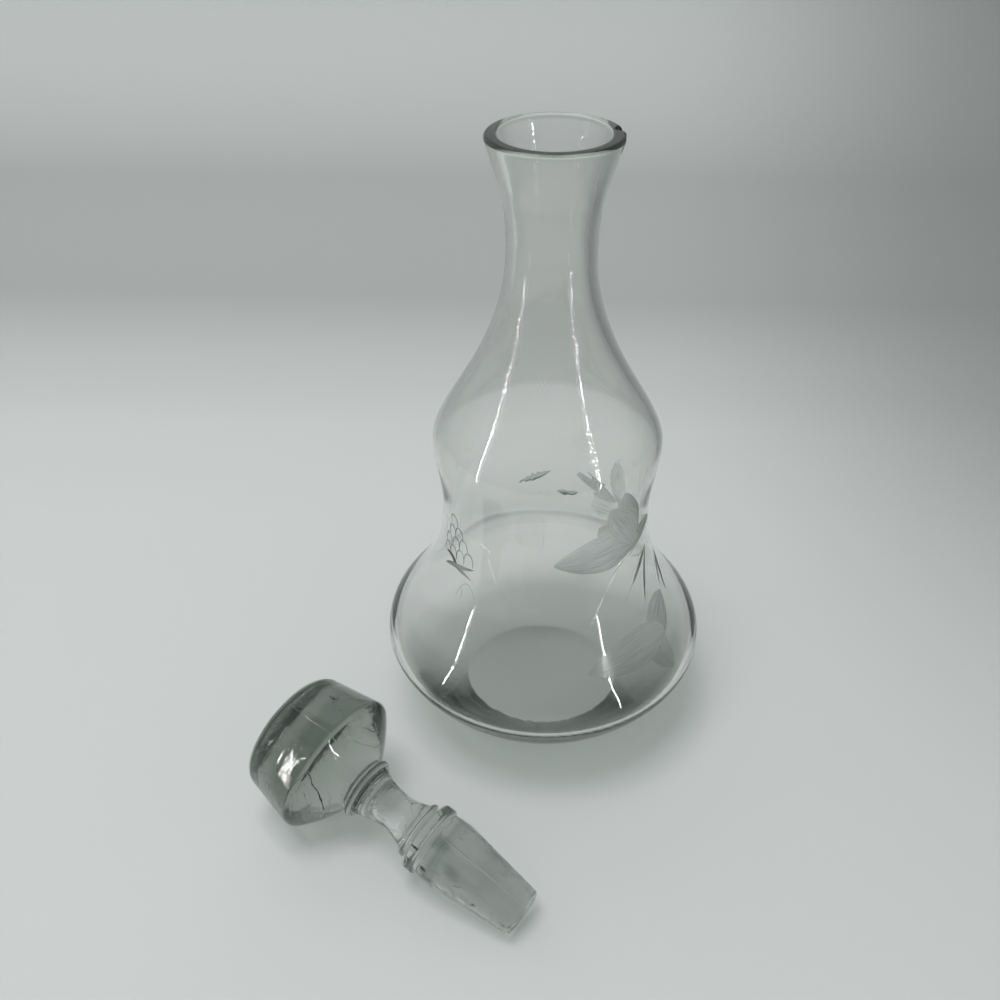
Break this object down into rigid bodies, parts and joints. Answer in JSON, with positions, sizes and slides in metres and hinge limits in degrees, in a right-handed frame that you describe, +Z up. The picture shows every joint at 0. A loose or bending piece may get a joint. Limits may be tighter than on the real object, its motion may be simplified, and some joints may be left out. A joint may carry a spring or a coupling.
{
  "type": "decanter",
  "caption": "Clear glass decanter with a wide low bowl, a narrower upper bulb and a tall flared neck, etched with a vine, its solid glass stopper laid beside it.",
  "frame": {"origin": "centre of the decanter's flat foot, on the surface it stands on", "axes": "+Z up along the decanter's axis to its mouth; +Y away from the side it is seen from; +X to the viewer's right. The stopper lies on the -X side."},
  "size_m": [0.1789, 0.1972, 0.25],
  "materials": {
    "decanter_glass": "polished",
    "stopper_glass": "polished"
  },
  "bodies": {
    "decanter": {"decanter_body": "decanter_glass"},
    "stopper": {"stopper": "stopper_glass"}
  },
  "joints": [
    {"name": "stopper_lift", "type": "slide", "parent": "decanter", "child": "stopper", "axis": [0, 0, 1], "range_m": [0, 0.26]}
  ]
}
